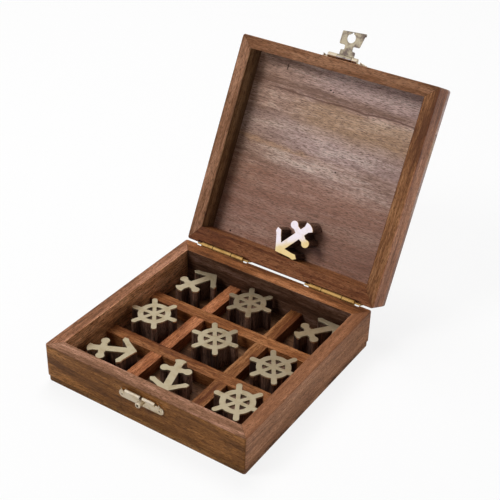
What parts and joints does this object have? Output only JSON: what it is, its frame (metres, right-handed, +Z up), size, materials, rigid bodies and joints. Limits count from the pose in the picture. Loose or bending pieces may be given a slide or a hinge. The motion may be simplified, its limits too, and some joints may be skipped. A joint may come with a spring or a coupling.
{
  "type": "tic-tac-toe game",
  "caption": "Small hinged hardwood box, lid open, its base a divided tray of brass-faced anchor and ship's wheel playing pieces, with a hasp latch.",
  "frame": {"origin": "middle of the underside of the base", "axes": "+X along the hinge, +Y from the latch side to the hinge side, +Z up out of the tray"},
  "size_m": [0.127, 0.2043, 0.1508],
  "materials": {
    "case_wood": "waxed satin hardwood",
    "divider_wood": "waxed satin hardwood, redder",
    "piece_wood": "sawn and waxed hardwood",
    "piece_brass": "pale brushed brass",
    "hinge_brass": "drawn brass",
    "latch_plating": "worn nickel plate"
  },
  "bodies": {
    "base": {"base_floor": "case_wood", "base_front_wall": "case_wood", "base_hinge_nails": "hinge_brass", "base_hinge_wall": "case_wood", "base_left_wall": "case_wood", "base_right_wall": "case_wood", "catch_knob": "latch_plating", "catch_nails": "latch_plating", "catch_plate": "latch_plating", "divider_back_strip": "divider_wood", "divider_front_strip": "divider_wood", "divider_left_strip": "divider_wood", "divider_right_strip": "divider_wood", "left_hinge_base_leaf": "hinge_brass", "left_hinge_pin": "hinge_brass", "right_hinge_base_leaf": "hinge_brass", "right_hinge_pin": "hinge_brass"},
    "lid": {"hasp_pin": "latch_plating", "hasp_plate": "latch_plating", "hasp_plate_nails": "latch_plating", "left_hinge_lid_leaf": "hinge_brass", "lid_front_wall": "case_wood", "lid_hinge_nails": "hinge_brass", "lid_hinge_wall": "case_wood", "lid_left_wall": "case_wood", "lid_right_wall": "case_wood", "lid_top_panel": "case_wood", "right_hinge_lid_leaf": "hinge_brass"},
    "hasp": {"hasp": "latch_plating"},
    "anchor_back_left": {"anchor_back_left_brass": "piece_brass", "anchor_back_left_wood": "piece_wood"},
    "wheel_back_middle": {"wheel_back_middle_brass": "piece_brass", "wheel_back_middle_wood": "piece_wood"},
    "anchor_back_right": {"anchor_back_right_brass": "piece_brass", "anchor_back_right_wood": "piece_wood"},
    "wheel_mid_left": {"wheel_mid_left_brass": "piece_brass", "wheel_mid_left_wood": "piece_wood"},
    "wheel_centre": {"wheel_centre_brass": "piece_brass", "wheel_centre_wood": "piece_wood"},
    "wheel_mid_right": {"wheel_mid_right_brass": "piece_brass", "wheel_mid_right_wood": "piece_wood"},
    "anchor_front_left": {"anchor_front_left_brass": "piece_brass", "anchor_front_left_wood": "piece_wood"},
    "anchor_front_middle": {"anchor_front_middle_brass": "piece_brass", "anchor_front_middle_wood": "piece_wood"},
    "wheel_front_right": {"wheel_front_right_brass": "piece_brass", "wheel_front_right_wood": "piece_wood"},
    "anchor_lid": {"anchor_lid_brass": "piece_brass", "anchor_lid_wood": "piece_wood"}
  },
  "joints": [
    {"name": "lid_hinge", "type": "hinge", "parent": "base", "child": "lid", "pos_m": [0, 0.0637, 0.02465], "axis": [-1, 0, 0], "range_deg": [-116.7, 0]},
    {"name": "hasp_pivot", "type": "hinge", "parent": "lid", "child": "hasp", "pos_m": [0.002, 0.12566, 0.13727], "axis": [-1, 0, 0], "range_deg": [-90, 60]},
    {"name": "anchor_back_left_lift", "type": "slide", "parent": "base", "child": "anchor_back_left", "axis": [0, 0, 1], "range_m": [0, 0.022]},
    {"name": "wheel_back_middle_lift", "type": "slide", "parent": "base", "child": "wheel_back_middle", "axis": [0, 0, 1], "range_m": [0, 0.022]},
    {"name": "anchor_back_right_lift", "type": "slide", "parent": "base", "child": "anchor_back_right", "axis": [0, 0, 1], "range_m": [0, 0.022]},
    {"name": "wheel_mid_left_lift", "type": "slide", "parent": "base", "child": "wheel_mid_left", "axis": [0, 0, 1], "range_m": [0, 0.022]},
    {"name": "wheel_centre_lift", "type": "slide", "parent": "base", "child": "wheel_centre", "axis": [0, 0, 1], "range_m": [0, 0.022]},
    {"name": "wheel_mid_right_lift", "type": "slide", "parent": "base", "child": "wheel_mid_right", "axis": [0, 0, 1], "range_m": [0, 0.022]},
    {"name": "anchor_front_left_lift", "type": "slide", "parent": "base", "child": "anchor_front_left", "axis": [0, 0, 1], "range_m": [0, 0.022]},
    {"name": "anchor_front_middle_lift", "type": "slide", "parent": "base", "child": "anchor_front_middle", "axis": [0, 0, 1], "range_m": [0, 0.022]},
    {"name": "wheel_front_right_lift", "type": "slide", "parent": "base", "child": "wheel_front_right", "axis": [0, 0, 1], "range_m": [0, 0.022]},
    {"name": "anchor_lid_lift", "type": "slide", "parent": "lid", "child": "anchor_lid", "axis": [0, -0.8934, 0.4493], "range_m": [0, 0.014]}
  ]
}
